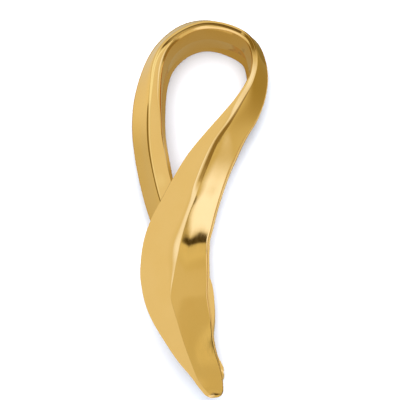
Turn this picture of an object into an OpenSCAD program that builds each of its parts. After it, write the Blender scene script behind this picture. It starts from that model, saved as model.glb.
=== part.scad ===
// Chain slide: one polished gold ribbon, folded over into a loop for the chain.
// It lies on its side, as in the photograph. X runs across, Y runs from the tip up to the loop,
// and Z runs from the side it lies on up to the side that shows. All sizes are in millimetres.

/* [Overall size] */
// Length from the top of the loop to the tip
slide_l = 28; // [25:0.5:32]
// Width across the loop
slide_w = 10; // [9:0.25:12]
// Depth of the ribbon, from the side it lies on to the side that shows
slide_d = 5.2; // [4.6:0.1:6.2]

/* [Ribbon] */
// Widest part of the flat side face
side_face_w = 2.2; // [1.8:0.05:2.5]
// Widest part of the bevelled strip between the side face and the front face
strip_w = 0.95; // [0.6:0.05:1.2]
// How far the front ridge stands out from the side face where it is widest
front_w = 3.1; // [2.5:0.05:3.5]
// Width of the bright bead along the front ridge
bead_w = 0.2; // [0.1:0.05:0.35]
// Thickness of the walls where the back of the ribbon is hollow
wall_t = 0.5; // [0.4:0.05:0.7]
// Height of the lip along the far edge, inside the loop
lip_h = 0.6; // [0.3:0.05:0.9]
// How far the ribbon leans down the slide between its two sides
lean_down = 1.63; // [1.2:0.05:2]
// How far the ribbon leans across the slide between its two sides
lean_side = 0.15; // [0:0.05:0.4]

/* [Solder] */
// Radius of the solder seam between the tail and the body
seam_r = 0.22; // [0.15:0.01:0.3]

/* [Hidden] */

// Columns of the ribbon's table. Places are shares of the overall sizes, and the rest are shares
// of the side face, the strip, the front ridge and the depth.
ACROSS = 0;
DOWN = 1;
TURN = 2;
NEAR_FACE = 3;
FAR_FACE = 4;
STRIP = 5;
RIDGE = 6;
NEAR = 7;
MID = 8;
FAR = 9;
HOLLOW = 10;

// One row for each section, from the tip, up the body, over the loop and down to the tail's end.
ribbon = [
    // across, down, turn, near face, far face, strip, ridge, near, mid, far, hollow
    [ 0.096, 0.999, -52, 0.11, 0.05, 0.00, 0.11, 0.84, 0.71, 0.58, 0.0],
    [ 0.067, 0.991, -46, 0.17, 0.08, 0.00, 0.29, 0.86, 0.67, 0.52, 0.0],
    [ 0.022, 0.973, -39, 0.16, 0.12, 0.00, 0.47, 0.88, 0.61, 0.45, 0.2],
    [-0.033, 0.944, -10, 0.15, 0.16, 0.00, 0.62, 0.92, 0.53, 0.39, 0.8],
    [-0.089, 0.892,   0, 0.39, 0.20, 0.00, 0.69, 0.96, 0.49, 0.37, 1.0],
    [-0.148, 0.831,   0, 0.61, 0.22, 0.00, 0.81, 0.98, 0.46, 0.37, 1.0],
    [-0.190, 0.780,   0, 0.79, 0.22, 0.00, 0.88, 1.00, 0.46, 0.37, 1.0],
    [-0.226, 0.730,   0, 0.89, 0.22, 0.04, 0.95, 1.00, 0.46, 0.37, 1.0],
    [-0.233, 0.675,   0, 0.98, 0.22, 0.36, 0.97, 1.00, 0.46, 0.37, 1.0],
    [-0.246, 0.627,   4, 0.90, 0.22, 0.80, 1.01, 1.00, 0.46, 0.37, 1.0],
    [-0.226, 0.582,  26, 0.88, 0.22, 0.86, 0.99, 1.00, 0.46, 0.37, 1.0],
    [-0.156, 0.529,  17, 0.91, 0.22, 0.56, 0.83, 1.00, 0.46, 0.37, 1.0],
    [-0.093, 0.476,   8, 0.82, 0.22, 0.46, 0.75, 1.00, 0.46, 0.37, 1.0],
    [-0.037, 0.423,   3, 0.71, 0.22, 0.46, 0.72, 1.00, 0.46, 0.36, 1.0],
    [ 0.022, 0.370,   0, 0.56, 0.22, 0.48, 0.70, 1.00, 0.46, 0.33, 0.9],
    [ 0.096, 0.317,   0, 0.38, 0.22, 0.38, 0.66, 1.00, 0.46, 0.27, 0.7],
    [ 0.200, 0.265,   0, 0.29, 0.20, 0.30, 0.53, 0.99, 0.47, 0.18, 0.4],
    [ 0.296, 0.212,   0, 0.19, 0.24, 0.18, 0.47, 0.98, 0.48, 0.09, 0.1],
    [ 0.378, 0.161,   0, 0.17, 0.30, 0.08, 0.34, 0.97, 0.48, 0.03, 0.0],
    [ 0.410, 0.106,   0, 0.15, 0.38, 0.04, 0.25, 0.96, 0.48, 0.00, 0.0],
    [ 0.369, 0.049,   0, 0.20, 0.38, 0.04, 0.20, 0.96, 0.48, 0.00, 0.0],
    [ 0.237, 0.018,   0, 0.20, 0.34, 0.04, 0.22, 0.96, 0.48, 0.00, 0.0],
    [ 0.052, 0.005,   0, 0.23, 0.27, 0.04, 0.29, 0.96, 0.48, 0.00, 0.0],
    [-0.111, 0.020,   0, 0.21, 0.24, 0.04, 0.34, 0.96, 0.48, 0.00, 0.0],
    [-0.259, 0.057,   0, 0.25, 0.32, 0.04, 0.30, 0.95, 0.48, 0.00, 0.0],
    [-0.344, 0.111,   0, 0.30, 0.41, 0.04, 0.31, 0.94, 0.47, 0.00, 0.0],
    [-0.374, 0.185,   0, 0.34, 0.45, 0.04, 0.41, 0.92, 0.46, 0.00, 0.0],
    [-0.385, 0.259,   0, 0.42, 0.53, 0.04, 0.43, 0.91, 0.45, 0.00, 0.0],
    [-0.378, 0.331,   0, 0.46, 0.66, 0.04, 0.39, 0.91, 0.45, 0.00, 0.0],
    [-0.348, 0.402,   0, 0.48, 0.71, 0.04, 0.36, 0.90, 0.45, 0.00, 0.0],
    [-0.300, 0.471,   0, 0.50, 0.68, 0.04, 0.34, 0.88, 0.44, 0.00, 0.0],
    [-0.237, 0.534,   0, 0.47, 0.60, 0.04, 0.32, 0.74, 0.37, 0.00, 0.0],
    [-0.163, 0.598,   0, 0.50, 0.54, 0.04, 0.31, 0.54, 0.27, 0.00, 0.0],
    [-0.089, 0.661,   0, 0.52, 0.52, 0.04, 0.29, 0.42, 0.21, 0.00, 0.0],
    [-0.026, 0.714,   0, 0.53, 0.50, 0.04, 0.27, 0.40, 0.20, 0.00, 0.0],
    [ 0.022, 0.772,   0, 0.37, 0.36, 0.04, 0.24, 0.40, 0.20, 0.00, 0.0],
    [ 0.044, 0.833,   0, 0.21, 0.21, 0.04, 0.20, 0.40, 0.20, 0.00, 0.0],
    [ 0.078, 0.889,   0, 0.20, 0.20, 0.04, 0.16, 0.40, 0.20, 0.00, 0.0],
    [ 0.134, 0.926,   0, 0.17, 0.15, 0.04, 0.11, 0.38, 0.20, 0.00, 0.0],
    [ 0.152, 0.942,   0, 0.06, 0.06, 0.02, 0.05, 0.32, 0.20, 0.05, 0.0]
];

// Height of the body's far edge, as a share of the depth. The ribbon leans less the higher its far edge is.
body_rise = 0.37;
// The row at the top of the loop, where the two halves of the ribbon meet.
top_row = 22;
// Steps from one row to the next, and how many of them to look each way for the run.
steps = 5;
reach = 3;

// A smooth curve through four rows, from the second row to the third.
function blend(a, b, c, d, t) =
    0.5 * (2 * b + (c - a) * t + (2 * a - 5 * b + 4 * c - d) * t * t + (3 * b - a - 3 * c + d) * t * t * t);

function between(i, t) =
    let (last = len(ribbon) - 1)
    blend(ribbon[max(i - 1, 0)], ribbon[i], ribbon[min(i + 1, last)], ribbon[min(i + 2, last)], t);

fine = [
    for (i = [0 : len(ribbon) - 2])
        for (k = [0 : steps - 1])
            between(i, k / steps),
    ribbon[len(ribbon) - 1]
];

function place(row) = [row[ACROSS] * slide_w, -row[DOWN] * slide_l];

// The way out from the inside of the ribbon to its front, square to its run.
function outward(i) =
    let (
        a = place(fine[max(i - reach, 0)]),
        b = place(fine[min(i + reach, len(fine) - 1)]),
        run = (b - a) / norm(b - a),
        turn = fine[i][TURN]
    )
    [run[1] * cos(turn) + run[0] * sin(turn), run[1] * sin(turn) - run[0] * cos(turn)];

// A point of a section: so far out from the side face's ridge, at a height.
function point(row, way, out, z) =
    let (
        p = place(row),
        drop = (row[NEAR] * slide_d - z) / slide_d,
        lean = [lean_side, -lean_down] * drop * max(0, 1 - row[FAR] / body_rise)
    )
    [p[0] + lean[0] + way[0] * out, p[1] + lean[1] + way[1] * out, z];

// The corners of one section, round from the inner corner of the side face.
function section(i) =
    let (
        row = fine[i],
        way = outward(i),
        near = min(row[NEAR], 1) * slide_d,
        mid = row[MID] * slide_d,
        far = max(row[FAR], 0) * slide_d,
        near_w = row[NEAR_FACE] * side_face_w,
        far_w = row[FAR_FACE] * side_face_w,
        strip = max(row[STRIP], 0.02) * strip_w,
        ridge = max(row[RIDGE] * front_w, strip + bead_w),
        strip_z = near - strip * 0.55,
        bead = min(bead_w, ridge * 0.3),
        far_out = ridge * max(0, 1 - (mid - far) / (near - mid)),
        lip_z = far + min(lip_h, (mid - far) * 0.6),
        open = max(0, min(1, row[HOLLOW])),
        closed_crease = -(near_w + far_w) / 2 + 0.15,
        open_crease = strip * 0.6 - wall_t * 0.4,
        crease = closed_crease + (open_crease - closed_crease) * open,
        crease_z = mid + (near - wall_t * 1.25 - mid) * open,
        lip_out = (far_out - far_w) * open + (-near_w) * (1 - open),
        edge = min(wall_t, (near - mid) * 0.4)
    )
    [
        point(row, way, -near_w, near),
        point(row, way, 0, near),
        point(row, way, strip, strip_z),
        point(row, way, ridge - bead, mid + (strip_z - mid) * bead / ridge),
        point(row, way, ridge, mid - bead * 0.2),
        point(row, way, far_out, far),
        point(row, way, far_out - far_w, far),
        point(row, way, lip_out + (ridge - wall_t * 1.2 - lip_out) * open * 0.9, lip_z + (mid - lip_z) * open),
        point(row, way, crease, crease_z),
        point(row, way, -near_w + edge * 0.6, near - edge)
    ];

corners = len(section(0));

module loft(first, last) {
    count = last - first + 1;
    points = [for (i = [first : last]) each section(i)];
    sides = [
        for (i = [0 : count - 2])
            for (k = [0 : corners - 1])
                let (
                    a = i * corners + k,
                    b = i * corners + (k + 1) % corners,
                    c = a + corners,
                    d = b + corners
                )
                each [[a, d, b], [a, c, d]]
    ];
    start = [for (k = [0 : corners - 1]) k];
    end = [for (k = [corners - 1 : -1 : 0]) (count - 1) * corners + k];
    polyhedron(points = points, faces = concat(sides, [start, end]), convexity = 8);
}

meet = top_row * steps;
total = len(fine) - 1;

// The front half: the tip, the body and the near side of the loop.
module front_half() {
    color("gold") loft(0, meet);
}

// The back half: the far side of the loop and the tail behind the body.
module back_half() {
    color("gold") loft(meet, total);
}

// A run of solder along the inner corner of the tail, where it lies behind the body.
module solder_seam() {
    seam = [for (i = [34 * steps - 3 : 37 * steps]) point(fine[i], outward(i), -0.2, fine[i][NEAR] * slide_d)];
    color("gold")
        for (i = [0 : 2 : len(seam) - 3])
            hull() {
                translate(seam[i]) sphere(r = seam_r, $fn = 16);
                translate(seam[i + 2]) sphere(r = seam_r, $fn = 16);
            }
}

every = [for (i = [0 : total]) each section(i)];
low = [for (k = [0 : 2]) min([for (p = every) p[k]])];
high = [for (k = [0 : 2]) max([for (p = every) p[k]])];

module ribbon_slide() {
    translate([-(low[0] + high[0]) / 2, -(low[1] + high[1]) / 2, -low[2]])
        union() {
            front_half();
            back_half();
            solder_seam();
        }
}

ribbon_slide();
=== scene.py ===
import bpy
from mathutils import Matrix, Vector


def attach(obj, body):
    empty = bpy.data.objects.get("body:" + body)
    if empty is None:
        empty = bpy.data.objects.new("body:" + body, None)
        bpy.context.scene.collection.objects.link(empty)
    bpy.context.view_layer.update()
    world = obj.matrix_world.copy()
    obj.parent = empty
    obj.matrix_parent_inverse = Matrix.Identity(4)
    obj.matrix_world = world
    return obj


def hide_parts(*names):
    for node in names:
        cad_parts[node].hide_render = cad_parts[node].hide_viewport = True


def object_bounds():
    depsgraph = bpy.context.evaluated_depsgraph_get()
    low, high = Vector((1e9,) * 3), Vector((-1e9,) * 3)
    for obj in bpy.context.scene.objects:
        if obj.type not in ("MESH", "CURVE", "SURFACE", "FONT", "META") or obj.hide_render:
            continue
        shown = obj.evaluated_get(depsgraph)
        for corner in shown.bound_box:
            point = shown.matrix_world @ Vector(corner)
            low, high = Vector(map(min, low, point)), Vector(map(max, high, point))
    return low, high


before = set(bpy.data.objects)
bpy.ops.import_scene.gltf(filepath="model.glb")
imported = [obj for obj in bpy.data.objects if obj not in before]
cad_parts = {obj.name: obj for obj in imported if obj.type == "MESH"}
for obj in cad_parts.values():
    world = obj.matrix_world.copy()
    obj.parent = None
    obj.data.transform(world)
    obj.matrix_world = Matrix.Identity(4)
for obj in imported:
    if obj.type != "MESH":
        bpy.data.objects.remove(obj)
cadBox = [list(corner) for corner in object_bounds()]

import math
import bmesh
import bpy
from mathutils import Vector

mm = 0.001
print("frame loaded")


def clearSelection():
    if bpy.context.object and bpy.context.object.mode != "OBJECT":
        bpy.ops.object.mode_set(mode="OBJECT")
    bpy.ops.object.select_all(action="DESELECT")


# the ribbon: body, loop and tail in one closed skin
slide = {
    # sizes in millimetres
    "length": 28.0,
    "width": 10.0,
    "depth": 5.2,
    "sideFace": 2.2,
    "strip": 0.95,
    "front": 3.1,
    "bead": 0.2,
    "wall": 0.5,
    "lip": 0.6,
    "edgeRadius": 0.05,
    # the loop's far side lies this much further down and right than its near side, and nothing
    # leans where a section's far side is above bodyRise of the depth
    "leanDown": 1.63,
    "leanSide": 0.15,
    "bodyRise": 0.37,
    # sections to each row, sections either way that give the run, most of the CAD's length that
    # is filled, size of the two end sections
    "steps": 5,
    "reach": 3,
    "fit": 0.9998,
    "endSize": 0.93,
    # near face: least strip, the rim's foot and how a deeper rim widens it, gap at the rim's edge,
    # height of the crown at the foot, the chamfer's part outside the edge, points across the strip
    "leastStrip": 0.02,
    "rimFoot": 0.12,
    "rimSpread": 0.9,
    "rimGap": 0.03,
    "crownFoot": 0.6,
    "chamferOut": 0.3,
    "stripPoints": (0.2, 0.5, 0.75, 0.87),
    # front face: points across it with their share of the bow; then the bead, in bead widths:
    # its foot, groove and ledge (in from the ridge, up from the face) and its top from the ledge
    "frontPoints": ((0.33, 1), (0.67, 1), (0.95, 0)),
    "leastFront": 0.01,
    "beadMost": 0.3,
    "beadDrop": 0.2,
    "beadFoot": ((1.35, 0.0), (1.05, -0.4), (0.85, 0.12)),
    "beadTop": ((0.4, -0.17), (0.78, -0.36)),
    # back: the crease of a closed section, that of a hollow one as shares of strip and wall,
    # the lip, the bevel at the inner edge, and the ridge inside the loop
    "closedCrease": 0.15,
    "hollowCrease": (0.6, 0.4, 1.25),
    "lipMost": 0.6,
    "lipHollow": (1.2, 0.9),
    "edgeMost": 0.4,
    "edgeOut": 0.4,
    "leastRidge": 0.005,
    "ridgeFoot": 0.3,
    "ridgeTop": (1.5, 3.2),
    # corners of the section that are rounded, and the most of an edge that one rounding takes
    "softCorners": (0, 1, 3, 4, 9, 13, 15, 18, 19, 20, 21, 24),
    "cutMost": 0.4,

    # what changes along the ribbon, as (row, value)
    "stripSlope": [
        (0, 0.5), (8, 0.34), (10, 0.36), (12.0, 0.42), (13.0, 0.74), (19.0, 0.74), (20.5, 0.3),
        (26.0, 0.3), (26.9, 0.74),
    ],
    "stripRound": [(0, 1.6), (11, 1.6), (13, 1.0)],
    "beadWide": [(0, 0.03), (4, 0.06), (7, 0.15), (15, 0.15), (18, 0.04)],
    "frontBow": [
        (0, 0.0), (9.2, 0.0), (10.5, -0.03), (12.6, -0.03), (14, -0.01), (18, 0.02), (22, 0.0),
        (26, -0.01), (27.3, -0.06), (29, -0.03), (30, 0.0),
    ],
    "rimDrop": [(0, 0.0), (15.6, 0.0), (17.2, 0.13), (19.6, 0.15), (23.6, 0.18), (24.7, 0.0)],
    "faceCrown": [(0, 0.0), (17, 0.0), (21, 0.03), (24, 0.05), (25.2, 0.04), (27.5, 0.0)],
    "innerChamfer": [
        (0, 0.0), (17, 0.0), (18.6, 0.1), (21.5, 0.1), (23, 0.16), (26, 0.2), (27.4, 0.08),
        (28.4, 0.0),
    ],
    "chamferSlope": [(0, 0.5), (22, 0.5), (24, 0.8), (27, 0.8)],
    "innerRidge": [(0, 0.0), (17, 0.0), (20, 0.18), (24, 0.18), (26, 0.04), (28, 0.0)],
    "foldSlant": [(0, 0.0), (1.5, 0.0), (4, 0.09), (10.6, 0.09), (17, 0.0)],

    # one section in each row, from the tip up the body, round the loop and down the tail: its place
    # across and down as shares of the width and length, the turn of its outward side in degrees,
    # then shares of the side face (near, far), the strip, the front ridge and of the depth (near,
    # middle, far), and how far its back is hollow
    "rows": [
        (0.096, 0.999, -52, 0.11, 0.05, 0.00, 0.11, 0.84, 0.71, 0.58, 0.0),
        (0.067, 0.991, -46, 0.17, 0.08, 0.00, 0.29, 0.86, 0.67, 0.52, 0.0),
        (0.022, 0.973, -39, 0.16, 0.12, 0.00, 0.47, 0.88, 0.61, 0.45, 0.2),
        (-0.033, 0.944, -10, 0.15, 0.16, 0.00, 0.62, 0.92, 0.53, 0.39, 0.8),
        (-0.089, 0.892, 0, 0.39, 0.20, 0.00, 0.69, 0.96, 0.5, 0.37, 1.0),
        (-0.148, 0.831, 0, 0.61, 0.22, 0.00, 0.81, 0.98, 0.485, 0.37, 1.0),
        (-0.190, 0.780, 0, 0.79, 0.22, 0.00, 0.88, 1.00, 0.48, 0.37, 1.0),
        (-0.226, 0.730, 0, 0.89, 0.22, 0.04, 0.95, 1.00, 0.475, 0.37, 1.0),
        (-0.233, 0.675, 0, 0.98, 0.22, 0.36, 0.97, 1.00, 0.47, 0.37, 1.0),
        (-0.246, 0.627, 5, 0.90, 0.22, 0.80, 1.01, 1.00, 0.46, 0.37, 1.0),
        (-0.226, 0.582, 17, 0.88, 0.22, 0.86, 0.94, 1.00, 0.46, 0.37, 1.0),
        (-0.156, 0.529, 14, 0.91, 0.22, 0.56, 0.82, 1.00, 0.435, 0.37, 1.0),
        (-0.093, 0.476, 8, 0.82, 0.22, 0.46, 0.75, 1.00, 0.455, 0.37, 1.0),
        (-0.037, 0.423, 3, 0.71, 0.22, 0.46, 0.72, 1.00, 0.46, 0.36, 1.0),
        (0.022, 0.370, 0, 0.56, 0.22, 0.48, 0.70, 1.00, 0.46, 0.33, 0.9),
        (0.096, 0.317, 0, 0.38, 0.22, 0.38, 0.66, 1.00, 0.46, 0.27, 0.7),
        (0.200, 0.265, 0, 0.29, 0.20, 0.30, 0.53, 0.99, 0.47, 0.18, 0.4),
        (0.296, 0.212, 0, 0.19, 0.24, 0.18, 0.47, 0.98, 0.48, 0.09, 0.1),
        (0.378, 0.161, 0, 0.17, 0.30, 0.08, 0.34, 0.97, 0.48, 0.03, 0.0),
        (0.410, 0.106, 0, 0.15, 0.38, 0.10, 0.25, 0.96, 0.48, 0.00, 0.0),
        (0.369, 0.049, 0, 0.20, 0.38, 0.12, 0.20, 0.96, 0.48, 0.00, 0.0),
        (0.237, 0.018, 0, 0.20, 0.34, 0.13, 0.22, 0.96, 0.48, 0.00, 0.0),
        (0.052, 0.005, 0, 0.23, 0.27, 0.13, 0.29, 0.96, 0.48, 0.00, 0.0),
        (-0.111, 0.020, 0, 0.21, 0.24, 0.13, 0.34, 0.96, 0.48, 0.00, 0.0),
        (-0.259, 0.057, 0, 0.25, 0.32, 0.13, 0.30, 0.95, 0.48, 0.00, 0.0),
        (-0.344, 0.111, 0, 0.30, 0.41, 0.14, 0.31, 0.94, 0.47, 0.00, 0.0),
        (-0.374, 0.185, 0, 0.34, 0.45, 0.08, 0.41, 0.92, 0.46, 0.00, 0.0),
        (-0.385, 0.259, 0, 0.42, 0.53, 0.17, 0.43, 0.91, 0.45, 0.00, 0.0),
        (-0.378, 0.331, 0, 0.46, 0.66, 0.17, 0.39, 0.925, 0.45, 0.00, 0.0),
        (-0.348, 0.402, 0, 0.48, 0.71, 0.12, 0.36, 0.95, 0.45, 0.00, 0.0),
        (-0.300, 0.471, 0, 0.50, 0.68, 0.11, 0.34, 0.985, 0.44, 0.00, 0.0),
        (-0.237, 0.534, 0, 0.47, 0.60, 0.06, 0.32, 0.90, 0.37, 0.00, 0.0),
        (-0.163, 0.598, 0, 0.50, 0.54, 0.04, 0.31, 0.60, 0.27, 0.00, 0.0),
        (-0.089, 0.661, 0, 0.52, 0.52, 0.04, 0.29, 0.42, 0.21, 0.00, 0.0),
        (-0.026, 0.714, 0, 0.53, 0.50, 0.04, 0.27, 0.40, 0.20, 0.00, 0.0),
        (0.022, 0.772, 0, 0.37, 0.36, 0.04, 0.24, 0.40, 0.20, 0.00, 0.0),
        (0.044, 0.833, 0, 0.21, 0.21, 0.04, 0.20, 0.40, 0.20, 0.00, 0.0),
        (0.078, 0.889, 0, 0.20, 0.20, 0.04, 0.16, 0.40, 0.20, 0.00, 0.0),
        (0.134, 0.926, 0, 0.17, 0.15, 0.04, 0.11, 0.38, 0.20, 0.00, 0.0),
        (0.152, 0.942, 0, 0.06, 0.06, 0.02, 0.05, 0.32, 0.20, 0.05, 0.0),
    ],
}


def blendRows(a, b, c, d, t):
    # smooth curve from row b to row c
    return [
        0.5 * (2 * q + (r - p) * t + (2 * p - 5 * q + 4 * r - s) * t * t
               + (3 * q - p - 3 * r + s) * t ** 3)
        for p, q, r, s in zip(a, b, c, d)
    ]


def fineRows():
    rows, steps = slide["rows"], slide["steps"]
    last = len(rows) - 1
    fine = []
    for i in range(last):
        for k in range(steps):
            around = [rows[max(i - 1, 0)], rows[i], rows[i + 1], rows[min(i + 2, last)]]
            fine.append(blendRows(*around, k / steps))
    return fine + [list(rows[last])]


def between(name, row):
    # eased value of one of the slide's (row, value) tables, level beyond its ends
    table = slide[name]
    for (rowA, valueA), (rowB, valueB) in zip(table, table[1:]):
        if row <= rowB:
            share = max(0, (row - rowA) / (rowB - rowA))
            share = share * share * (3 - 2 * share)
            return valueA + (valueB - valueA) * share
    return table[-1][1]


def softenCorners(profile):
    # three corners for each sharp one, closer together where there is little room
    softened = []
    for k, corner in enumerate(profile):
        if k not in slide["softCorners"]:
            softened.append(corner)
            continue
        back = profile[k - 1] - corner
        ahead = profile[(k + 1) % len(profile)] - corner
        shorter = min(back.length, ahead.length)
        cut = min(slide["edgeRadius"], shorter * slide["cutMost"])
        start = corner + back.normalized() * cut
        end = corner + ahead.normalized() * cut
        softened += [start, (start + corner * 2 + end) / 4, end]
    return softened


def sectionProfile(shares, row):
    # corners as (out, height), once round from the inner edge: near face, strip, front face, bead,
    # far face and inside; gives the strip's width too
    nearShare, farShare, stripShare, ridgeShare, near, middle, far, hollow = shares
    depth, wall = slide["depth"], slide["wall"]
    hollow = max(0, min(1, hollow))
    nearZ, midZ, farZ = min(near, 1) * depth, middle * depth, max(far, 0) * depth
    nearWide, farWide = nearShare * slide["sideFace"], farShare * slide["sideFace"]
    strip = max(stripShare, slide["leastStrip"]) * slide["strip"]
    ridge = max(ridgeShare * slide["front"], strip + slide["bead"])

    rim = between("rimDrop", row)
    rimFoot = slide["rimFoot"] + rim * slide["rimSpread"]
    stripTop = nearZ - rim
    stripDrop = -strip * between("stripSlope", row)
    stripEdge = Vector((strip, stripTop + stripDrop))
    rounding = between("stripRound", row)
    crown = between("faceCrown", row)
    chamfer = between("innerChamfer", row)
    chamferOut = slide["chamferOut"]
    chamferDrop = chamfer * (1 + chamferOut) * between("chamferSlope", row)
    nearFace = [
        (-nearWide - chamfer * chamferOut, nearZ - chamferDrop),
        (-nearWide + chamfer, nearZ),
        (-max(nearWide / 2, rimFoot + slide["rimGap"]), nearZ + crown),
        (-rimFoot, nearZ + crown * slide["crownFoot"]),
        (-slide["rimGap"], stripTop),
    ]
    stripFace = [
        (strip * point, stripTop + stripDrop * point ** rounding)
        for point in slide["stripPoints"]
    ]

    bead = min(between("beadWide", row), ridge * slide["beadMost"])
    apex = Vector((ridge, midZ - bead * slide["beadDrop"]))
    fall = (stripEdge.y - midZ) / max(ridge - strip, slide["leastFront"])
    foot, groove, ledge = [
        apex + bead * Vector((-inward, inward * fall + up)) for inward, up in slide["beadFoot"]
    ]
    slope = (stripEdge - Vector((ridge, midZ))).normalized()
    bow = between("frontBow", row) * Vector((slope.y, -slope.x))
    frontFace = [stripEdge.lerp(foot, point) + bow * share for point, share in slide["frontPoints"]]
    beadTop = [ledge + bead * Vector(point) for point in slide["beadTop"]]

    farOut = ridge * max(0, 1 - (midZ - farZ) / (nearZ - midZ))
    lipZ = farZ + min(slide["lip"], (midZ - farZ) * slide["lipMost"])
    lipOut = (farOut - farWide) * hollow - nearWide * (1 - hollow)
    lipWalls, lipShare = slide["lipHollow"]
    ofStrip, wallsIn, wallsDown = slide["hollowCrease"]
    closedCrease = -(nearWide + farWide) / 2 + slide["closedCrease"]
    crease = closedCrease + (strip * ofStrip - wall * wallsIn - closedCrease) * hollow
    creaseZ = midZ + (nearZ - wall * wallsDown - midZ) * hollow
    edge = min(wall, (nearZ - midZ) * slide["edgeMost"])
    bulge = max(between("innerRidge", row) * (1 - hollow), slide["leastRidge"])
    topOut, topUp = slide["ridgeTop"]
    back = [
        (farOut, farZ),
        (farOut - farWide, farZ),
        (lipOut + (ridge - wall * lipWalls - lipOut) * hollow * lipShare,
         lipZ + (midZ - lipZ) * hollow),
        (crease - bulge * slide["ridgeFoot"], creaseZ - bulge),
        (crease - bulge * topOut, creaseZ + bulge * topUp),
        (-nearWide + edge * slide["edgeOut"], nearZ - edge),
    ]
    front = [stripEdge, *frontFace, foot, groove, ledge, *beadTop, apex]
    return [Vector(corner) for corner in (*nearFace, *stripFace, *front, *back)], strip


def sectionCorners(fine, i):
    across, down, turn, *shares = fine[i]
    near, far = shares[4], shares[6]
    row = i / slide["steps"]
    a = fine[max(i - slide["reach"], 0)]
    b = fine[min(i + slide["reach"], len(fine) - 1)]
    run = Vector(((b[0] - a[0]) * slide["width"], (a[1] - b[1]) * slide["length"])).normalized()
    cosTurn, sinTurn = math.cos(math.radians(turn)), math.sin(math.radians(turn))
    way = Vector((run.y * cosTurn + run.x * sinTurn, run.y * sinTurn - run.x * cosTurn))
    lean = Vector((slide["leanSide"], -slide["leanDown"])) * max(0, 1 - far / slide["bodyRise"])
    place = Vector((across * slide["width"], -down * slide["length"]))
    slant = between("foldSlant", row)
    profile, strip = sectionProfile(shares, row)
    corners = []
    for out, z in softenCorners(profile):
        drop = near - z / slide["depth"]
        flat = place + lean * drop + way * out + run * slant * max(out - strip, 0)
        corners.append(Vector((flat.x, flat.y, z)))
    return corners


def ribbonRings():
    # every section's corners in metres, centred and no longer than the CAD's solid
    fine = fineRows()
    rings = [sectionCorners(fine, i) for i in range(len(fine))]
    for end in (0, -1):
        middle = sum(rings[end], Vector()) / len(rings[end])
        rings[end] = [middle.lerp(corner, slide["endSize"]) for corner in rings[end]]
    allCorners = [corner for ring in rings for corner in ring]
    low = Vector([min(corner[k] for corner in allCorners) for k in range(3)])
    high = Vector([max(corner[k] for corner in allCorners) for k in range(3)])
    centre = Vector(((low.x + high.x) / 2, (low.y + high.y) / 2, low.z))
    cadLength = (cadBox[1][1] - cadBox[0][1]) / mm
    squeeze = Vector((1, min(1, slide["fit"] * cadLength / (high.y - low.y)), 1))
    return [[(corner - centre) * squeeze * mm for corner in ring] for ring in rings]


def extrudeRing(piece, edgeRing, corners):
    # extrudes the selected open edge, puts the new corners in place and gives their indices
    bpy.ops.mesh.extrude_region_move()
    mesh = bmesh.from_edit_mesh(piece.data)
    mesh.verts.index_update()
    mesh.verts.ensure_lookup_table()
    fresh = []
    for index, corner in zip(edgeRing, corners):
        old = mesh.verts[index]
        ahead = [edge.other_vert(old) for edge in old.link_edges if edge.other_vert(old).select]
        ahead[0].co = corner
        fresh.append(ahead[0].index)
    return fresh


def makeRibbon():
    rings = ribbonRings()
    count = len(rings[0])
    clearSelection()
    bpy.ops.mesh.primitive_circle_add(vertices=count, radius=slide["sideFace"] * mm)
    piece = bpy.context.object
    piece.name = "polishedSlide"
    bpy.ops.object.mode_set(mode="EDIT")
    mesh = bmesh.from_edit_mesh(piece.data)
    for vertex, corner in zip(mesh.verts, rings[0]):
        vertex.co = corner
    edgeRing = list(range(count))
    for ring in rings[1:]:
        edgeRing = extrudeRing(piece, edgeRing, ring)

    # close the tail's end, which is still selected, and then the tip
    bpy.ops.mesh.edge_face_add()
    bpy.ops.mesh.select_all(action="DESELECT")
    mesh = bmesh.from_edit_mesh(piece.data)
    mesh.verts.ensure_lookup_table()
    for index in range(count):
        mesh.verts[index].select = True
    mesh.select_flush(True)
    bpy.ops.mesh.edge_face_add()
    bpy.ops.mesh.select_all(action="SELECT")
    bpy.ops.mesh.normals_make_consistent(inside=False)
    bpy.ops.object.mode_set(mode="OBJECT")

    # smooth shading that keeps the wide faces flat
    bpy.ops.object.shade_smooth()
    weights = piece.modifiers.new("flatFaces", "WEIGHTED_NORMAL")
    weights.mode = "FACE_AREA"
    weights.weight = 50
    bpy.ops.object.modifier_apply(modifier=weights.name)
    return piece


ribbon = makeRibbon()
print("ribbon", len(ribbon.data.polygons), "faces")


occlusionSamples = 8


def addNode(tree, kind, inputs, **settings):
    # an input is a number, a colour or another node's output
    node = tree.nodes.new(kind)
    for name, value in settings.items():
        setattr(node, name, value)
    for name, value in inputs.items():
        if isinstance(value, bpy.types.NodeSocket):
            tree.links.new(value, node.inputs[name])
        else:
            node.inputs[name].default_value = value
    return node


def mathNode(tree, operation, *values):
    node = addNode(tree, "ShaderNodeMath", dict(enumerate(values)), operation=operation)
    return node.outputs["Value"]


def vectorNode(tree, operation, *values):
    node = addNode(tree, "ShaderNodeVectorMath", dict(enumerate(values)), operation=operation)
    return node.outputs["Value" if operation == "LENGTH" else "Vector"]


def splitNode(tree, vector):
    return addNode(tree, "ShaderNodeSeparateXYZ", {"Vector": vector}).outputs


def joinNode(tree, x, y):
    return addNode(tree, "ShaderNodeCombineXYZ", {"X": x, "Y": y}).outputs["Vector"]


def noiseNode(tree, vector, scale, detail):
    inputs = {"Vector": vector, "Scale": scale, "Detail": detail}
    return addNode(tree, "ShaderNodeTexNoise", inputs).outputs["Fac"]


def rangeNode(tree, value, fromRange, toRange, interpolation="LINEAR"):
    names = ("Value", "From Min", "From Max", "To Min", "To Max")
    inputs = dict(zip(names, (value, *fromRange, *toRange)))
    ramp = addNode(tree, "ShaderNodeMapRange", inputs, interpolation_type=interpolation)
    return ramp.outputs["Result"]


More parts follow.
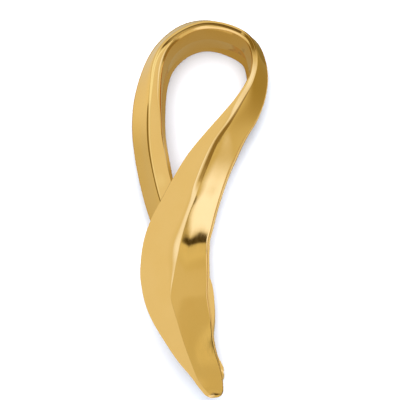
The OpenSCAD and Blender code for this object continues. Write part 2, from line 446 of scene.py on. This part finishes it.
def mixColours(tree, factor, colourA, colourB, blend="MIX"):
    inputs = {"Factor": factor, "A": colourA, "B": colourB}
    mix = addNode(tree, "ShaderNodeMix", inputs, data_type="RGBA", blend_type=blend)
    return mix.outputs["Result"]


def occlusionNode(tree, reach):
    inputs = {"Distance": reach * mm}
    node = addNode(tree, "ShaderNodeAmbientOcclusion", inputs, samples=occlusionSamples)
    return node.outputs["AO"]


# the polish: two close alloy colours, painted shade in the creases, fine strokes
gold = {
    "colour": (0.98, 0.64, 0.21, 1),
    "warmColour": (0.97, 0.625, 0.195, 1),
    # painted crease shade: the colour that the base colour darkens to in occluded creases
    "paintedCreaseShade": (0.30, 0.15, 0.04, 1),
    "creaseReach": 0.25,
    "creaseRange": (0.3, 0.75),
    "cloudScale": 450,  # features to a metre, as the strokes across, along and deep
    "cloudDetail": 2,
    "cloudRange": (0.35, 0.65),
    "strokes": (9000, 900, 6000),
    "strokeDetail": 3,
    "strokeRange": (0.3, 0.7),
    "strokeShare": 0.06,
    "roughness": (0.05, 0.1),
    "relief": 0.004,
}


def makeGold():
    material = bpy.data.materials.new("polishedGold")
    material.use_nodes = True
    tree = material.node_tree
    shader = tree.nodes["Principled BSDF"]
    shader.inputs["Metallic"].default_value = 1
    coords = tree.nodes.new("ShaderNodeTexCoord").outputs["Object"]
    grain = addNode(tree, "ShaderNodeMapping", {"Vector": coords, "Scale": gold["strokes"]})
    cloud = noiseNode(tree, coords, gold["cloudScale"], gold["cloudDetail"])
    strokes = noiseNode(tree, grain.outputs["Vector"], 1, gold["strokeDetail"])

    # slightly redder and yellower clouds in the alloy, and painted shade: the base colour darkens
    # where the creases are occluded
    clouds = rangeNode(tree, cloud, gold["cloudRange"], (0, 1))
    alloy = mixColours(tree, clouds, gold["colour"], gold["warmColour"])
    creaseOpenness = rangeNode(tree, occlusionNode(tree, gold["creaseReach"]), gold["creaseRange"], (0, 1))
    colour = mixColours(tree, creaseOpenness, gold["paintedCreaseShade"], alloy)
    tree.links.new(colour, shader.inputs["Base Color"])

    # polishing strokes along the ribbon: a little rougher in places, and a very shallow relief
    roughness = rangeNode(tree, strokes, gold["strokeRange"], gold["roughness"])
    tree.links.new(roughness, shader.inputs["Roughness"])
    height = mathNode(tree, "ADD", mathNode(tree, "MULTIPLY", strokes, gold["strokeShare"]), cloud)
    relief = {"Strength": 1, "Distance": gold["relief"] * mm, "Height": height}
    bump = addNode(tree, "ShaderNodeBump", relief)
    tree.links.new(bump.outputs["Normal"], shader.inputs["Normal"])
    return material


ribbon.data.materials.append(makeGold())
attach(ribbon, "root")
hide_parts("ribbon_slide")
print("gold on", ribbon.name)


# floor, light and camera, with lengths in millimetres, those of lens and sensor too
studio = {
    "floorSize": 400,
    "floorGap": 0.02,
    "floorColour": (0.91, 0.94, 0.99, 1),
    "paperRoughness": 0.8,
    "paperGloss": 0.1,
    # painted contact shadow: the paper's colour where the slide occludes it, and how far that
    # reaches
    "paintedShadowColour": (0.48, 0.51, 0.56, 1),
    "paintedShadowReach": 2.0,
    "softboxPlace": (-20, 130, 300),
    "softboxSize": 240,
    "softboxPower": 1.6,
    "lens": 800,
    "sensor": 36,
    "viewWidth": 400 / 13.5,  # 400 pixels at 13.5 to a millimetre
    "viewCentre": (0.0, 0.65, 2.6),
    "clip": (0.5, 2),  # shares of the camera's distance
    # light that reaches the paper, and what the metal mirrors: the tent from horizon to zenith, the
    # floor with its shade under the slide, which the metal's own colour tints
    "ambient": (0.74, 0.79, 0.88, 1),
    "horizon": (0.683, 0.651, 0.518, 1),
    "zenith": (0.80, 0.80, 0.80, 1),
    "floorGlow": (0.66, 0.62, 0.44, 1),
    "shadeTint": (0.55, 0.40, 0.12, 1),
    "shadeReach": 6,
    # soft cards in the tent: bearing and height in degrees, half sizes, softness, tilt, colour
    "tentPatches": [
        ((-37.0, 11.7), (18.8, 14.3), 0.19, 0, (0.27, 0.21, 0.09)),
        ((-13.8, 37.0), (16.6, 12.5), 0.7, 0, (1.0, 1.16, 1.85)),
        ((-79.7, 40.2), (45.1, 10.3), 0.42, 0, (1.05, 1.09, 1.48)),
        ((-188.9, 70.0), (59.0, 9.1), 0.56, 0, (0.98, 1.12, 1.33)),
        ((-160.0, 18.1), (31.0, 15.3), 0.3, 0, (0.24, 0.19, 0.08)),
        ((-265.0, 19.0), (62.0, 20.0), 0.38, 0, (0.16, 0.12, 0.05)),
        ((38.0, 33.0), (30.0, 26.0), 0.14, 0, (0.22, 0.165, 0.05)),
        ((13.0, 0.0), (6.0, 3.0), 0.5, 0, (0.62, 0.575, 0.41)),
    ],
    # and on the floor, by the angle below the horizon from eyeHeight over the middle
    "eyeHeight": 3.5,
    "floorPatches": [
        ((-234.0, -15.0), (24.0, 7.0), 0.5, 0, (0.84, 0.81, 0.66)),
        ((-272.0, -23.0), (26.0, 7.0), 0.3, 0, (0.56, 0.52, 0.36)),
        ((-272.0, -38.0), (40.0, 7.0), 0.5, 0, (0.92, 0.94, 0.90)),
        ((-12.5, -5.5), (8.0, 3.0), 0.7, 0, (0.73, 0.70, 0.52)),
        ((6.0, -3.5), (9.0, 3.5), 0.5, 0, (0.61, 0.57, 0.40)),
        ((41.5, -14.1), (34.0, 5.8), 0.65, 0, (0.37, 0.30, 0.11)),
        ((-300.0, -14.5), (12.0, 5.5), 0.5, 0, (0.28, 0.22, 0.07)),
        ((-22.0, -23.0), (23.0, 9.8), 0.25, -0.08, (1.12, 1.28, 1.95)),
        ((-18.0, -9.65), (5.2, 3.35), 0.35, -0.09, (0.06, 0.045, 0.015)),
    ],
    # bearings run up to this one, so that their seam lies behind the loop
    "seamBearing": 60,
}


def softPatchGroup():
    # one for a direction inside an oval, fading to nothing across its edge
    group = bpy.data.node_groups.new("softPatch", "ShaderNodeTree")
    for name in ("Vector", "Centre", "Size"):
        group.interface.new_socket(name, in_out="INPUT", socket_type="NodeSocketVector")
    for name in ("Softness", "Tilt"):
        group.interface.new_socket(name, in_out="INPUT", socket_type="NodeSocketFloat")
    group.interface.new_socket("Mask", in_out="OUTPUT", socket_type="NodeSocketFloat")
    given = group.nodes.new("NodeGroupInput").outputs
    offset = splitNode(group, vectorNode(group, "SUBTRACT", given["Vector"], given["Centre"]))
    slid = mathNode(group, "MULTIPLY", offset["X"], given["Tilt"])
    tilted = joinNode(group, offset["X"], mathNode(group, "SUBTRACT", offset["Y"], slid))
    scaled = vectorNode(group, "DIVIDE", tilted, given["Size"])
    low = mathNode(group, "SUBTRACT", 1, given["Softness"])
    high = mathNode(group, "ADD", 1, given["Softness"])
    length = vectorNode(group, "LENGTH", scaled)
    mask = rangeNode(group, length, (low, high), (1, 0), interpolation="SMOOTHSTEP")
    addNode(group, "NodeGroupOutput", {"Mask": mask})
    return group


def layPatches(tree, vector, colour, patches, group):
    # mixes soft patches over a colour, one after another, and gives the last colour
    for centre, size, softness, tilt, patchColour in patches:
        patch = tree.nodes.new("ShaderNodeGroup")
        patch.node_tree = group
        tree.links.new(vector, patch.inputs["Vector"])
        patch.inputs["Centre"].default_value = (*centre, 0)
        patch.inputs["Size"].default_value = (*size, 1)
        patch.inputs["Softness"].default_value = softness
        patch.inputs["Tilt"].default_value = tilt
        colour = mixColours(tree, patch.outputs["Mask"], colour, (*patchColour, 1))
    return colour


def bearing(tree, direction):
    # degrees round from the right, with one whole turn that ends at seamBearing
    angle = mathNode(tree, "DEGREES", mathNode(tree, "ARCTAN2", direction["Y"], direction["X"]))
    beyond = mathNode(tree, "GREATER_THAN", angle, studio["seamBearing"])
    return mathNode(tree, "SUBTRACT", angle, mathNode(tree, "MULTIPLY", beyond, 360))


def mirroredFloor(tree, group):
    # soft reflector cards on the floor, which the metal mirrors and the camera doesn't see
    coords = tree.nodes.new("ShaderNodeTexCoord").outputs["Object"]
    eye = -studio["eyeHeight"] * mm
    away = vectorNode(tree, "LENGTH", coords)
    below = mathNode(tree, "DEGREES", mathNode(tree, "ARCTAN2", eye, away))
    place = joinNode(tree, bearing(tree, splitNode(tree, coords)), below)
    base = tree.nodes.new("ShaderNodeRGB").outputs["Color"]
    base.default_value = studio["floorGlow"]
    cards = layPatches(tree, place, base, studio["floorPatches"], group)
    openness = occlusionNode(tree, studio["shadeReach"])
    shade = mixColours(tree, openness, studio["shadeTint"], (1, 1, 1, 1))
    colour = mixColours(tree, 1, cards, shade, blend="MULTIPLY")
    return addNode(tree, "ShaderNodeEmission", {"Color": colour}).outputs["Emission"]


def makeFloor(group):
    clearSelection()
    under = (0, 0, -studio["floorGap"] * mm)
    bpy.ops.mesh.primitive_plane_add(size=studio["floorSize"] * mm, location=under)
    floor = bpy.context.object
    floor.name = "paleFloor"
    material = bpy.data.materials.new("palePaper")
    material.use_nodes = True
    tree = material.node_tree
    shader = tree.nodes["Principled BSDF"]
    # painted contact shadow: the paper's colour darkens towards the shadow colour close to the
    # slide
    contact = occlusionNode(tree, studio["paintedShadowReach"])
    paper = mixColours(tree, contact, studio["paintedShadowColour"], studio["floorColour"])
    tree.links.new(paper, shader.inputs["Base Color"])
    shader.inputs["Roughness"].default_value = studio["paperRoughness"]
    shader.inputs["Specular IOR Level"].default_value = studio["paperGloss"]
    rays = tree.nodes.new("ShaderNodeLightPath").outputs
    seen = {0: rays["Is Glossy Ray"], 1: shader.outputs["BSDF"], 2: mirroredFloor(tree, group)}
    choose = addNode(tree, "ShaderNodeMixShader", seen)
    tree.links.new(choose.outputs["Shader"], tree.nodes["Material Output"].inputs["Surface"])
    floor.data.materials.append(material)


def makeWorld(group):
    world = bpy.data.worlds.new("softTent")
    bpy.context.scene.world = world
    world.use_nodes = True
    tree = world.node_tree
    direction = splitNode(tree, tree.nodes.new("ShaderNodeTexCoord").outputs["Generated"])
    height = mathNode(tree, "DEGREES", mathNode(tree, "ARCSINE", direction["Z"]))
    place = joinNode(tree, bearing(tree, direction), height)
    rise = mathNode(tree, "DIVIDE", height, 90)
    sky = mixColours(tree, rise, studio["horizon"], studio["zenith"])
    mirrored = layPatches(tree, place, sky, studio["tentPatches"], group)
    # the paper is lit by an even, slightly cool tent
    rays = tree.nodes.new("ShaderNodeLightPath").outputs
    lit = mixColours(tree, rays["Is Diffuse Ray"], mirrored, studio["ambient"])
    tree.links.new(lit, tree.nodes["Background"].inputs["Color"])


def makeSoftbox():
    data = bpy.data.lights.new("overheadSoftbox", "AREA")
    softbox = bpy.data.objects.new("overheadSoftbox", data)
    bpy.context.collection.objects.link(softbox)
    data.size = studio["softboxSize"] * mm
    data.energy = studio["softboxPower"]
    place = Vector(studio["softboxPlace"]) * mm
    softbox.location = place
    softbox.rotation_euler = place.to_track_quat("Z", "Y").to_euler()
    softbox.visible_glossy = False


def makeCamera():
    data = bpy.data.cameras.new("photoCamera")
    camera = bpy.data.objects.new("photoCamera", data)
    bpy.context.collection.objects.link(camera)
    data.lens = studio["lens"]
    data.sensor_width = studio["sensor"]
    distance = studio["viewWidth"] * mm * data.lens / data.sensor_width
    x, y, z = [value * mm for value in studio["viewCentre"]]
    camera.location = (x, y, distance + z)
    data.clip_start, data.clip_end = [distance * share for share in studio["clip"]]
    bpy.context.scene.camera = camera


patchGroup = softPatchGroup()
makeFloor(patchGroup)
makeWorld(patchGroup)
makeSoftbox()
makeCamera()
bpy.context.scene.view_settings.view_transform = "Standard"
print("floor, light and camera set")
